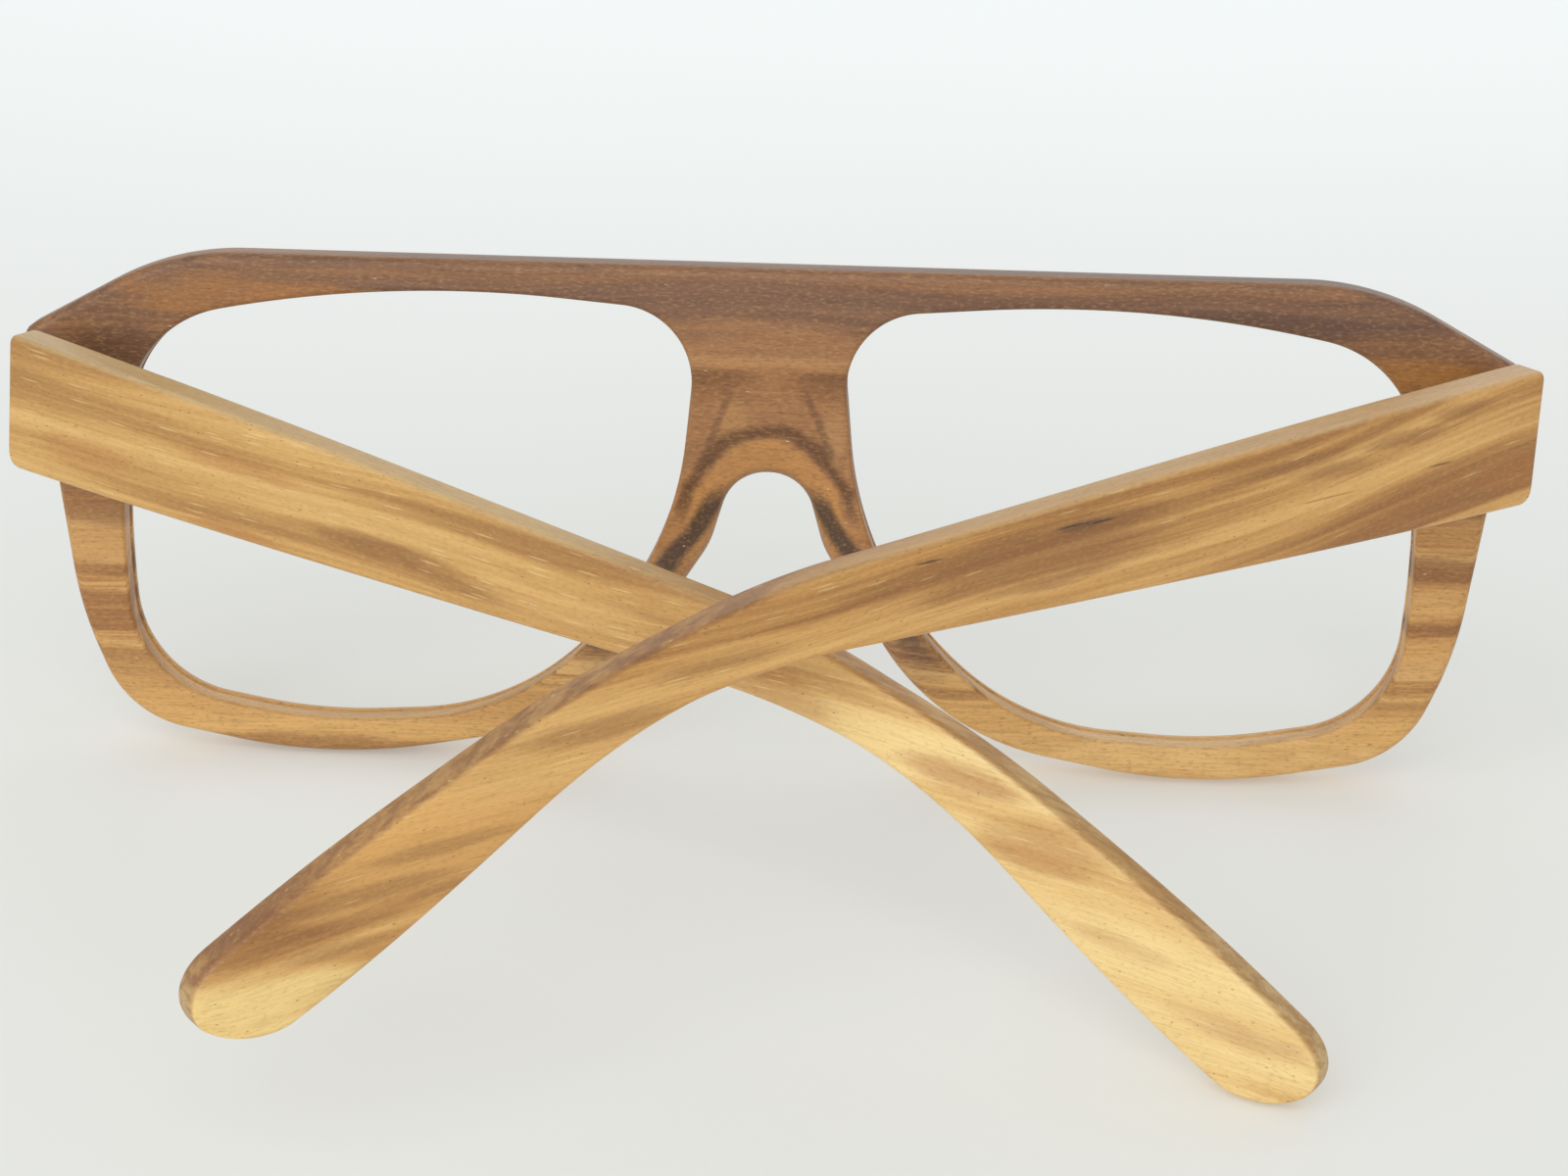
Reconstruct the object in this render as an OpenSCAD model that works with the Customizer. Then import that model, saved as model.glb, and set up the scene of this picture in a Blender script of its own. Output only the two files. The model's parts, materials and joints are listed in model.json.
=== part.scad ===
// Wooden spectacle frame: a flat full-rim front with a carved nose saddle, two bent
// side arms (temples) and a pair of five-knuckle barrel hinges let into the wood.
// It is drawn folded, the right temple lying over the left one, standing on its rims.
// x points to the wearer's right, y forward, z up. Sizes are in millimetres.

/* [Front] */
// Middle of the bridge to the end of an endpiece
front_half_w = 72.4; // [71.8:0.2:74]
// Thickness of the front
front_t = 4.4; // [4:0.1:5.4]
// Height of the brow line over the middle of the openings
brow_z = 24.5; // [24.1:0.1:27]
// Depth of the rim bottoms under the middle of the openings
rim_drop = 26.2; // [25.8:0.1:28]
// Rounding of the front's outer edges
edge_r = 0.9; // [0.4:0.1:1.1]
// Growth of the lens openings all round
opening_grow = 0; // [-0.5:0.1:0.4]
// Rounding of the edges of the lens openings
opening_edge_r = 0.45; // [0.2:0.05:0.6]
// Depth of the lens groove
groove_depth = 0.7; // [0.4:0.1:1]
// Width of the lens groove
groove_w = 1; // [0.6:0.1:1.2]
// Depth of the carved nose saddle at the back edge of the arch
saddle_depth = 2.6; // [1.2:0.1:3]
// Height of the carved saddle over the arch
saddle_h = 7; // [3:0.5:8]

/* [Temples] */
// Thickness of a temple at the hinge
temple_t = 4.4; // [4.2:0.1:5]
// Thickness of a temple from its waist to its tip
waist_t = 3.4; // [3:0.1:3.5]
// Height of a temple at the hinge
butt_h = 12.9; // [12.2:0.1:13.6]
// Height of a temple at its waist
waist_h = 6; // [5:0.1:6.4]
// Height of the paddle at the tip
tip_h = 9.3; // [7:0.1:10]
// Straight length from the hinge to the start of the ear bend
straight_len = 76.2; // [74:0.2:78]
// Radius of the ear bend
bend_r = 74; // [68:1:80]
// Length of the paddle after the ear bend
tip_len = 32; // [28:0.5:34]
// Downward slope of the straight stretch
temple_drop = 7.8; // [7.2:0.1:8.4]
// Downward slope of the paddle
tip_drop = 34; // [32:0.1:36]
// Slant of the paddle's end, longer at its upper side
tip_slant = 18; // [0:1:24]
// Rounding of the long edges
temple_edge_r = 0.6; // [0.4:0.1:1.3]

/* [Hinges] */
// Mean height of the hinges over the middle of the openings
hinge_z = 9.9; // [9.7:0.1:10.4]
// How far the right hinge sits over the mean height and the left one under it
hinge_skew = 0.6; // [0.4:0.1:0.8]
// Length of the barrel
hinge_h = 8.2; // [7.6:0.1:8.4]
// Radius of the barrel
barrel_r = 1.25; // [1.1:0.05:1.3]
// Radius of the pivot screw
pin_r = 0.7; // [0.5:0.05:0.75]
// Radial clearance of the moving knuckles on the pivot screw
pin_clear = 0.03; // [0.02:0.01:0.06]
// Gap between two knuckles
knuckle_gap = 0.08; // [0.05:0.01:0.15]
// Thickness of the hinge leaves
leaf_t = 1; // [0.8:0.1:1.2]
// Shank radius of the leaf screws
screw_r = 0.6; // [0.45:0.05:0.65]
// Length of the leaf screws
screw_len = 3; // [2.4:0.1:3.1]
// Angle of a temple to the front when its mitred butt meets the endpiece
open_angle = 95; // [92:0.5:97]

/* [Pose] */
// Angle of the left temple to the front
fold_left = 23; // [20:0.5:25]
// Angle of the right temple to the front
fold_right = 33.5; // [32:0.5:38]
// Sideways cant of both hinge axes, which carries one temple over the other
hinge_cant = 2.4; // [2:0.1:3]

/* [Hidden] */
$fn = 48;
arc_step = 4;
butt_gap = 0.08;
barrel_clear = 0.15;
pin_off_x = barrel_r + barrel_clear;
pin_off_y = 4.2;
pin_x = front_half_w - temple_t - pin_off_x;
end_top = 16.5;
end_low = 4.8;
arch_z = 3.8;
groove_y = front_t * 0.66;
saddle_flank = 2.6;
head_r = screw_r + 0.5;
head_h = 0.5;
screw_clear = 0.02;
slot_w = 0.25;
pin_head_r = pin_r + 0.45;
pin_head_h = 0.6;
web_t = 1.3;
leaf_edge = 1.7;
front_leaf_w = 6.2;
temple_leaf_len = 10.5;
temple_leaf_h = 8;
front_screw_x = 2.9;
screw_pitch = 4.6;
temple_screw_y = 3.6;
knuckle_h = (hinge_h - 4 * knuckle_gap) / 5;
knuckle_step = knuckle_h + knuckle_gap;
butt_y = pin_off_y - butt_gap;
butt_rise = 1.6;

dark_wood = [0.55, 0.40, 0.27];
gold_wood = [0.80, 0.63, 0.40];
nickel = [0.72, 0.70, 0.66];

// Outlines: corners given as [x, z, radius] and joined by straight lines and arcs

// Points of the arc that rounds corner p between its neighbours a and b
function corner_arc(a, p, b) =
  let (
    c = [p.x, p.y],
    u = ([a.x, a.y] - c) / norm([a.x, a.y] - c),
    v = ([b.x, b.y] - c) / norm([b.x, b.y] - c),
    half = acos(u * v) / 2,
    run = p.z / tan(half),
    o = c + (u + v) / norm(u + v) * p.z / sin(half),
    s = c + u * run - o,
    e = c + v * run - o,
    from = atan2(s.y, s.x),
    turn = atan2(s.x * e.y - s.y * e.x, s * e),
    n = max(2, ceil(abs(turn) / 11), ceil(abs(turn) * PI / 180 * p.z / arc_step))
  )
  [for (i = [0:n]) o + p.z * [cos(from + turn * i / n), sin(from + turn * i / n)]];

// Closed outline, every corner rounded
function closed_outline(c) =
  let (n = len(c))
  [for (i = [0:n - 1]) each corner_arc(c[(i + n - 1) % n], c[i], c[(i + 1) % n])];

// Half of a mirrored outline: the two end points stay on the middle plane
function half_outline(c) =
  let (n = len(c))
  [
    [c[0].x, c[0].y],
    for (i = [1:n - 2]) each corner_arc(c[i - 1], c[i], c[i + 1]),
    [c[n - 1].x, c[n - 1].y]
  ];

// The same line with points put in so that no step is longer than arc_step
function stepped(p) = [
  for (i = [0:len(p) - 2])
    let (n = ceil(norm(p[i + 1] - p[i]) / arc_step))
    for (k = [0:n - 1]) p[i] + (p[i + 1] - p[i]) * k / n,
  p[len(p) - 1]
];

// Unit normal of a clockwise line, pointing into the shape it bounds
function inward(t) = [t.y, -t.x] / norm(t);

// Where the ray from o through p meets a closed outline, with the normal there
function ray_hit(line, o, p) =
  let (
    d = p - o,
    n = len(line),
    hits = [
      for (i = [0:n - 1])
        let (
          a = line[i] - o,
          b = line[(i + 1) % n] - o,
          ca = d.x * a.y - d.y * a.x,
          cb = d.x * b.y - d.y * b.x
        )
        if (ca * cb <= 0 && ca != cb)
          let (q = a + (b - a) * ca / (ca - cb))
          if (q * d > 0) [q + o, inward(b - a)]
    ]
  )
  hits[0];

front_corners = [
  [0, brow_z, 0],
  [57.9, brow_z, 26],
  [front_half_w, end_top, 1.4],
  [front_half_w, end_low, 1.2],
  [front_half_w - 2.5, end_low - 0.6, 1],
  [67.6, -11.5, 35],
  [63, -rim_drop + 3.8, 10.5],
  [42.7, -rim_drop, 53],
  [17.6, -rim_drop + 4.6, 25],
  [5.5, -3.3, 8.3],
  [3.4, arch_z, 3.2],
  [0, arch_z, 0]
];

opening_corners = [
  [6.8, 19.9, 7.4],
  [36.6, 22.3, 118],
  [61.6, 17.3, 11.4],
  [63.3, -0.8, 100],
  [61.8, -18.9, 11.1],
  [44.3, -22.1, 48],
  [25.5, -20.9, 25],
  [9.3, -5.9, 34]
];

half_line = stepped(half_outline(front_corners));
half_n = len(half_line);
mid_n = 9;
opening_line = closed_outline(opening_corners);
opening_mid = [35, 7];

// Loop round one rim: the outer half outline, closed along the middle of the bridge
rim_loop = [
  each half_line,
  for (j = [1:mid_n - 1]) [0, arch_z + (brow_z - arch_z) * j / mid_n]
];
rim_n = len(rim_loop);

// Normal at point i of the half outline; its end points look straight up or down
function half_normal(i) =
  i == 0 ? [0, -1] :
    i == half_n - 1 ? [0, 1] :
      inward(half_line[i + 1] - half_line[i - 1]);

// Point of the lens opening and its normal, opposite every point of the loop
opening_hits = [for (p = rim_loop) ray_hit(opening_line, opening_mid, p)];

// Solid between rings of points that all have the same count
module loft(rings) {
  m = len(rings);
  n = len(rings[0]);
  polyhedron(
    points = [for (r = rings) each r],
    faces = [
      [for (i = [0:n - 1]) i],
      for (j = [0:m - 2])
        for (i = [0:n - 1])
          each [
            [j * n + i, (j + 1) * n + i, j * n + (i + 1) % n],
            [j * n + (i + 1) % n, (j + 1) * n + i, (j + 1) * n + (i + 1) % n]
          ],
      [for (i = [n - 1:-1:0]) (m - 1) * n + i]
    ],
    convexity = 8
  );
}

// Front: one rim section swept round each opening, the two halves meeting in the bridge.
// Its back edge is eased all round and opens into a carved saddle at the nose arch.

// Share of the full saddle at an outline point: all at the arch, none at the rim bottoms
function saddle_share(p) =
  abs(p.x) > 20 || p.y > arch_z + 1 ? 0 :
    let (t = min(1, max(0, (arch_z - p.y) / 19)))
    (1 + cos(180 * t)) / 2;

// How far the carving reaches over the back face: widest over the arch, narrow on the flanks
function saddle_reach(p) =
  let (t = min(1, max(0, (arch_z - p.y) / 6)))
  saddle_h + (saddle_flank - saddle_h) * t;

// Outer edge at point i of the half outline, a degrees round the easing
function edge_point(i, a, back) =
  let (
    p = half_line[i],
    k = back ? saddle_share(p) : 0,
    reach = edge_r + (saddle_reach(p) - edge_r) * k,
    depth = edge_r + (saddle_depth - edge_r) * k,
    q = p + half_normal(i) * reach * (1 - sin(a)),
    y = depth * (1 - cos(a))
  )
  [q.x, back ? y : front_t - y, q.y];

function outer_ring(a, back) =
  let (
    top = edge_point(0, a, back),
    arch = edge_point(half_n - 1, a, back)
  )
  [
    for (i = [0:half_n - 1]) edge_point(i, a, back),
    for (j = [1:mid_n - 1]) arch + (top - arch) * j / mid_n
  ];

// One ring of the lens opening, grown by g, at depth y
function opening_ring(g, y) = [
  for (h = opening_hits)
    let (q = h[0] - h[1] * (g + opening_grow))
    [q.x, y, q.y]
];

// Opening: eased back edge, V groove for the lens, eased front edge
opening_rings = [
  for (a = [0:45:90])
    opening_ring(opening_edge_r * (1 - sin(a)), opening_edge_r * (1 - cos(a))),
  opening_ring(0, groove_y - groove_w / 2),
  opening_ring(groove_depth, groove_y),
  opening_ring(0, groove_y + groove_w / 2),
  for (a = [90:-45:0])
    opening_ring(opening_edge_r * (1 - sin(a)), front_t - opening_edge_r * (1 - cos(a)))
];

outer_rings = [
  for (a = [0:45:90]) outer_ring(a, false),
  for (a = [90:-30:0]) outer_ring(a, true)
];

rim_rings = [each opening_rings, each outer_rings];

// Triangles of one half; the wall on the middle plane stays open for the other half
function rim_faces(flip, shift) =
  let (
    m = len(rim_rings),
    m0 = len(opening_rings)
  )
  [
    for (j = [0:m - 1])
      for (i = [0:rim_n - 1])
        let (
          inner_wall = j >= m0 && j < m - 1 && i >= half_n - 1,
          a = shift + j * rim_n + i,
          b = shift + j * rim_n + (i + 1) % rim_n,
          c = shift + (j + 1) % m * rim_n + i,
          d = shift + (j + 1) % m * rim_n + (i + 1) % rim_n
        )
        if (!inner_wall)
          each flip ? [[a, c, b], [b, c, d]] : [[a, b, c], [b, d, c]]
  ];

module front_shell() {
  half = [for (r = rim_rings) each r];
  polyhedron(
    points = [each half, for (p = half) [-p.x, p.y, p.z]],
    faces = [each rim_faces(false, 0), each rim_faces(true, len(half))],
    convexity = 8
  );
}

// Placement of one hinge on the front, then of a temple on its hinge

module at_hinge(side) {
  translate([side * pin_x, -pin_off_y, hinge_z + side * hinge_skew])
    rotate([0, hinge_cant, 0])
      mirror([side < 0 ? 1 : 0, 0, 0])
        children();
}

module folded(side) {
  at_hinge(side)
    rotate([0, 0, (side < 0 ? fold_left : fold_right) - 90])
      children();
}

module front() {
  color(dark_wood)
    standing()
      difference() {
        front_shell();
        for (side = [-1, 1])
          at_hinge(side)
            front_leaf_bed();
      }
}

// Bed in the front's back face with the holes for the two leaf screws
module front_leaf_bed() {
  front_leaf_plate(leaf_t + 1);
  for (i = [-1, 1])
    front_screw_place(i)
      screw_hole();
}

module front_leaf_plate(t) {
  translate([-leaf_edge, pin_off_y + leaf_t - t, -hinge_h / 2])
    cube([front_leaf_w, t, hinge_h]);
}

module front_screw_place(i) {
  translate([front_screw_x, pin_off_y, i * screw_pitch / 2])
    rotate([-90, 0, 0])
      children();
}

module temple_screw_place(i) {
  translate([pin_off_x, -temple_screw_y - (i + 1) * screw_pitch / 2, 0])
    rotate([0, 90, 0])
      children();
}

// Leaf screw: countersunk slotted head flush with the leaf, shank along +z
module leaf_screw() {
  difference() {
    union() {
      cylinder(r1 = head_r, r2 = screw_r, h = head_h);
      cylinder(r = screw_r, h = screw_len);
    }
    translate([-head_r, -slot_w / 2, -1])
      cube([2 * head_r, slot_w, 1 + head_h / 2]);
  }
}

module screw_hole() {
  cylinder(r = screw_r + screw_clear, h = screw_len + screw_clear);
}

module countersink() {
  cylinder(r1 = head_r, r2 = screw_r, h = head_h);
  translate([0, 0, -0.01])
    cylinder(r = screw_r + screw_clear, h = leaf_t + 1);
}

// One knuckle of the barrel, number k from below, with its web along +x or +y
module knuckle(k, turn, reach) {
  translate([0, 0, k * knuckle_step - hinge_h / 2]) {
    cylinder(r = barrel_r, h = knuckle_h);
    rotate([0, 0, turn])
      translate([0, -web_t / 2, 0])
        cube([reach, web_t, knuckle_h]);
  }
}

module pin_bore() {
  translate([0, 0, -hinge_h])
    cylinder(r = pin_r + pin_clear, h = 2 * hinge_h);
}

module front_hinge_leaf(side) {
  color(nickel)
    standing()
      at_hinge(side)
        difference() {
          union() {
            front_leaf_plate(leaf_t);
            for (k = [0:2:4])
              knuckle(k, 90, pin_off_y + leaf_t / 2);
          }
          pin_bore();
          for (i = [-1, 1])
            front_screw_place(i)
              countersink();
        }
}

module temple_leaf_plate(t) {
  translate([pin_off_x + leaf_t - t, -temple_leaf_len, -temple_leaf_h / 2])
    cube([t, temple_leaf_len + web_t / 2, temple_leaf_h]);
}

module temple_hinge_leaf(side) {
  color(nickel)
    standing()
      folded(side)
        difference() {
          union() {
            temple_leaf_plate(leaf_t);
            for (k = [1:2:3])
              knuckle(k, 0, pin_off_x + leaf_t / 2);
          }
          pin_bore();
          for (i = [-1, 1])
            temple_screw_place(i)
              countersink();
        }
}

// Pivot screw: slotted head on the upper knuckle, shank through all five
module hinge_pivot_screw(side) {
  color(nickel)
    standing()
      at_hinge(side)
        difference() {
          union() {
            translate([0, 0, -hinge_h / 2])
              cylinder(r = pin_r, h = hinge_h + pin_head_h / 2);
            translate([0, 0, hinge_h / 2])
              cylinder(r = pin_head_r, h = pin_head_h);
          }
          translate([-slot_w / 2, -2, hinge_h / 2 + pin_head_h / 2])
            cube([slot_w, 4, 1]);
        }
}

module front_leaf_screw(side, i) {
  color(nickel)
    standing()
      at_hinge(side)
        front_screw_place(i)
          leaf_screw();
}

module temple_leaf_screw(side, i) {
  color(nickel)
    standing()
      folded(side)
        temple_screw_place(i)
          leaf_screw();
}

// Temple: a rounded section swept along a straight stretch, the ear bend and the paddle

bend_len = bend_r * (tip_drop - temple_drop) * PI / 180;
temple_len = straight_len + bend_len + tip_len;
waist_u = straight_len + bend_len * 0.48;
flare_u = temple_len - tip_h * 1.25;

function slope_at(u) =
  temple_drop + (tip_drop - temple_drop) * min(1, max(0, (u - straight_len) / bend_len));

// Middle line as [distance behind the butt, height], by arc length u
function middle_at(u) =
  let (
    a = slope_at(u),
    lead = min(u, straight_len),
    tail = max(0, u - straight_len - bend_len)
  )
  [
    lead * cos(temple_drop) + bend_r * (sin(a) - sin(temple_drop)) + tail * cos(tip_drop),
    -lead * sin(temple_drop) - bend_r * (cos(temple_drop) - cos(a)) - tail * sin(tip_drop)
  ];

function ease(t) = (1 - cos(180 * min(1, max(0, t)))) / 2;

// Height of the section: tapers to the waist, then flares into the paddle
function height_at(u) =
  u < waist_u ? butt_h + (waist_h - butt_h) * pow(u / waist_u, 1.3) :
    waist_h + (tip_h - waist_h) * ease((u - waist_u) / (flare_u - waist_u));

function thick_at(u) = temple_t + (waist_t - temple_t) * ease(u / straight_len);

// Stations: eased butt end, even steps, then the half round of the tip
tip_round = tip_h * 0.56;
tip_start = temple_len - tip_round;
stations = [
  [0, 0.5],
  [0.2, 0.2],
  [0.6, 0],
  for (i = [1:9]) [straight_len * i / 9, 0],
  for (i = [1:10]) [straight_len + bend_len * i / 10, 0],
  for (i = [1:3]) [straight_len + bend_len + (tip_len - tip_round) * i / 3, 0],
  for (a = [15:15:75]) [tip_start + tip_round * sin(a), -1],
  [tip_start + tip_round * sin(84), -1]
];

// Slant of a section: the butt is mitred for the open angle, later sections are square
function mitre_at(u) = tan(open_angle - 90) * max(0, 1 - u / 12);

// Section ring at a station: u along the temple, e eases the butt edges, e < 0 rounds the tip
function temple_ring(st) =
  let (
    u = st[0],
    round_off = st[1] < 0 ? sqrt(1 - pow((u - tip_start) / tip_round, 2)) : 1,
    e = max(0, st[1]),
    h = height_at(u) / 2 * round_off - e,
    t = thick_at(u) * (0.55 + 0.45 * round_off) - 2 * e,
    x0 = pin_off_x + temple_t - thick_at(u) / 2,
    r = min(temple_edge_r, h * 0.8, t * 0.4),
    m = middle_at(u),
    slant = tip_slant * ease((u - tip_start + tip_h) / (tip_h + tip_round)),
    b = slope_at(u) * ease((u - 4) / 40) + slant
  )
  [
    for (c = [[1, 1, 0], [-1, 1, 90], [-1, -1, 180], [1, -1, 270]])
      for (a = [0:30:90])
        let (
          dx = c.x * (t / 2 - r) + r * cos(c.z + a),
          dz = c.y * (h - r) + r * sin(c.z + a)
        )
        [
          x0 + dx,
          butt_y - mitre_at(u) * (x0 + dx) - m.x - dz * sin(b),
          butt_rise + m.y + dz * cos(b)
        ]
  ];

module temple_blank() {
  loft([for (st = stations) temple_ring(st)]);
}

module temple(side) {
  color(gold_wood)
    standing()
      folded(side)
        difference() {
          temple_blank();
          temple_leaf_plate(leaf_t + 2);
          for (i = [-1, 1])
            temple_screw_place(i)
              screw_hole();
        }
}

// Stand: the frame leans until it rests on both rim bottoms and the left tip

// Temple point p carried round its hinge into the frame of the front
function hinge_point(side, p) =
  let (
    a = (side < 0 ? fold_left : fold_right) - 90,
    x = side * (p.x * cos(a) - p.y * sin(a)),
    y = p.x * sin(a) + p.y * cos(a)
  )
  [
    side * pin_x + x * cos(hinge_cant) + p.z * sin(hinge_cant),
    y - pin_off_y,
    hinge_z + side * hinge_skew - x * sin(hinge_cant) + p.z * cos(hinge_cant)
  ];

temple_points = [
  for (side = [-1, 1])
    [for (st = stations) each [for (p = temple_ring(st)) hinge_point(side, p)]]
];
front_points = [for (r = outer_rings) each r];

// Lowest height of a set of points at lean a
function foot(points, a) = min([for (p = points) p.z * cos(a) - p.y * sin(a)]);

// Lean between a and b at which the left tip is as low as the rims, by halving n times
function lean_between(a, b, n) =
  let (m = (a + b) / 2)
  n == 0 ? m :
    foot(temple_points[0], m) > foot(front_points, m) ? lean_between(a, m, n - 1) :
      lean_between(m, b, n - 1);

lean = lean_between(0, 25, 16);
stand_h = -foot(front_points, lean);

// Middle of the footprint from left to right
reach_left = max(front_half_w, -min([for (p = temple_points[0]) p.x]));
reach_right = max(front_half_w, max([for (p = temple_points[1]) p.x]));
stand_x = (reach_left - reach_right) / 2;

// Middle of the footprint from front to back
reach_front = max([for (p = front_points) p.y * cos(lean) + p.z * sin(lean)]);
reach_back = min([for (t = temple_points) for (p = t) p.y * cos(lean) + p.z * sin(lean)]);
stand_y = -(reach_front + reach_back) / 2;

module standing() {
  translate([stand_x, stand_y, stand_h])
    rotate([-lean, 0, 0])
      children();
}

front();
temple(-1);  // temple_left
temple(1);  // temple_right
front_hinge_leaf(-1);  // front_hinge_leaf_left
front_hinge_leaf(1);  // front_hinge_leaf_right
temple_hinge_leaf(-1);  // temple_hinge_leaf_left
temple_hinge_leaf(1);  // temple_hinge_leaf_right
hinge_pivot_screw(-1);  // hinge_pivot_screw_left
hinge_pivot_screw(1);  // hinge_pivot_screw_right
front_leaf_screw(-1, 1);  // front_leaf_screw_left_upper
front_leaf_screw(-1, -1);  // front_leaf_screw_left_lower
front_leaf_screw(1, 1);  // front_leaf_screw_right_upper
front_leaf_screw(1, -1);  // front_leaf_screw_right_lower
temple_leaf_screw(-1, -1);  // temple_leaf_screw_left_near
temple_leaf_screw(-1, 1);  // temple_leaf_screw_left_far
temple_leaf_screw(1, -1);  // temple_leaf_screw_right_near
temple_leaf_screw(1, 1);  // temple_leaf_screw_right_far
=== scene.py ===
import json
import math

import bmesh
import bpy
import numpy as np
from mathutils import Matrix, Vector


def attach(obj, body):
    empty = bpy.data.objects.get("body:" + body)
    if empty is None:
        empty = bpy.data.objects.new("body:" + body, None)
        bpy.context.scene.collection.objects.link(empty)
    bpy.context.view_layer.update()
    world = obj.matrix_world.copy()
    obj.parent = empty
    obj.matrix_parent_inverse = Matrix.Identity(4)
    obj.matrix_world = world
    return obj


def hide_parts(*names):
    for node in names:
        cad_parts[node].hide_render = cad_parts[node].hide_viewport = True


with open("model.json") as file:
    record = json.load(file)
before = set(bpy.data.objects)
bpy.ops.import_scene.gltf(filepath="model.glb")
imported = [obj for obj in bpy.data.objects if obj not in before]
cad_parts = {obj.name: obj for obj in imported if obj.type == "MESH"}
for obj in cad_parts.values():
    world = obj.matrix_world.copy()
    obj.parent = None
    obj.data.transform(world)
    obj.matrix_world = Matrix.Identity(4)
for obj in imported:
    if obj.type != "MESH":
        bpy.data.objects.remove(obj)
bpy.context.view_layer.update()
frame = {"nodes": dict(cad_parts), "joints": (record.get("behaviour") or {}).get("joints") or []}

# Front: one flat plate of wood, dark at the brow and honey in the rims, sawn to two full rims.
# Its edges are eased by hand, the openings are grooved for lenses, and the back of the nose
# arch is carved to a saddle. The hinge leaves are let into the back of both endpieces.


def turned(axis, angle):
    """Turn by an angle about axis 0, 1 or 2, that is x, y or z."""
    turn = np.eye(3)
    i, j = (axis + 1) % 3, (axis + 2) % 3
    turn[i, i] = turn[j, j] = math.cos(angle)
    turn[j, i], turn[i, j] = math.sin(angle), -math.sin(angle)
    return turn


right_fold = next(j for j in frame["joints"] if j["name"] == "right_temple_fold")
hinge_axis = np.array(right_fold["axis"]) / np.linalg.norm(right_fold["axis"])
lean = math.atan2(hinge_axis[1], hinge_axis[2])
cant = math.asin(hinge_axis[0])
tilt = turned(0, -lean)
pin_x, pin_y, hinge_z, hinge_skew = 66.6, -4.2, 9.9, 0.6


def pin(side):
    """Middle of a hinge in the front's frame: the right one sits a little higher than the left one."""
    return np.array([side * pin_x, pin_y, hinge_z + side * hinge_skew])


stand = np.array(right_fold["pos_m"]) * 1000 - tilt @ pin(1)


def to_row(p):
    """Front's frame in millimetres to the row's frame in metres: (tilt p + stand) / 1000."""
    return (p @ tilt.T + stand) / 1000


# Sizes in millimetres; snug is how far a mesh keeps inside the solid that it replaces.
front_t, snug = 4.4, 0.045
edge_r, opening_edge_r = 0.9, 0.45
groove_y, groove_w, groove_depth = front_t * 0.66, 1.0, 0.7
outline_step, opening_step = 0.55, 0.2
arc_n, bridge_n, edge_n = 33, 26, 7

front_corners = [
    [0, 24.5, 0], [57.9, 24.5, 26], [72.4, 16.5, 1.4], [72.4, 4.8, 1.2],
    [69.9, 4.2, 1], [67.6, -11.5, 35], [63, -22.4, 10.5], [42.7, -26.2, 53],
    [17.6, -21.6, 25], [5.5, -3.3, 8.3], [3.4, 3.8, 4.4], [0, 3.8, 0],
]
opening_corners = [
    [6.8, 19.9, 7.4], [36.6, 22.3, 118], [61.6, 17.3, 11.4], [63.3, -0.8, 100],
    [61.8, -18.9, 11.1], [44.3, -22.1, 48], [25.5, -20.9, 25], [9.3, -5.9, 34],
]


def rounded(corners, closed):
    """Corners [x, z, radius] joined by straight lines, each corner an arc touching both lines: its
    middle lies r / sin(half the angle) from the corner, and it touches r / tan(half) along them."""
    c = np.array(corners, float)
    p, r = c[:, :2], c[:, 2:]
    u = np.roll(p, 1, 0) - p
    v = np.roll(p, -1, 0) - p
    u /= np.linalg.norm(u, axis=1, keepdims=True)
    v /= np.linalg.norm(v, axis=1, keepdims=True)
    half = np.arccos(np.clip((u * v).sum(1, keepdims=True), -1, 1)) / 2
    middle = p + (u + v) / np.linalg.norm(u + v, axis=1, keepdims=True) * r / np.sin(half)
    s = p + u * r / np.tan(half) - middle
    e = p + v * r / np.tan(half) - middle
    turn = np.arctan2(s[:, 0] * e[:, 1] - s[:, 1] * e[:, 0], (s * e).sum(1))
    angle = np.arctan2(s[:, 1], s[:, 0])[:, None] + turn[:, None] * np.linspace(0, 1, arc_n)
    arcs = middle[:, None] + r[:, None] * np.stack([np.cos(angle), np.sin(angle)], 2)
    if closed:
        return arcs.reshape(-1, 2)
    return np.concatenate([p[:1], arcs[1:-1].reshape(-1, 2), p[-1:]])


def spaced(line, step):
    """The same line in even steps of its own length."""
    run = np.concatenate([[0], np.cumsum(np.linalg.norm(np.diff(line, axis=0), axis=1))])
    at = np.linspace(0, run[-1], int(run[-1] / step) + 1)
    return np.stack([np.interp(at, run, line[:, k]) for k in (0, 1)], 1)


def inward(line):
    """Unit normals of a clockwise line, pointing into the shape, from its central differences."""
    d = np.gradient(line, axis=0)
    n = np.stack([d[:, 1], -d[:, 0]], 1)
    return n / np.linalg.norm(n, axis=1, keepdims=True)


def smooth(v, start, end):
    """Smooth step 3 t^2 - 2 t^3 of v, 0 at start and 1 at end."""
    t = np.clip((v - start) / (end - start), 0, 1)
    return t * t * (3 - 2 * t)


outline = spaced(rounded(front_corners, False), outline_step)
outline_in = inward(outline)
outline_in[0], outline_in[-1] = (0, -1), (0, 1)
bridge_t = np.linspace(0, 1, bridge_n + 1)[1:-1, None]


def up_the_bridge(line):
    """An open line of the outer edge closed by even steps up the middle of the bridge."""
    return np.concatenate([line, line[-1] + (line[0] - line[-1]) * bridge_t])


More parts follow.
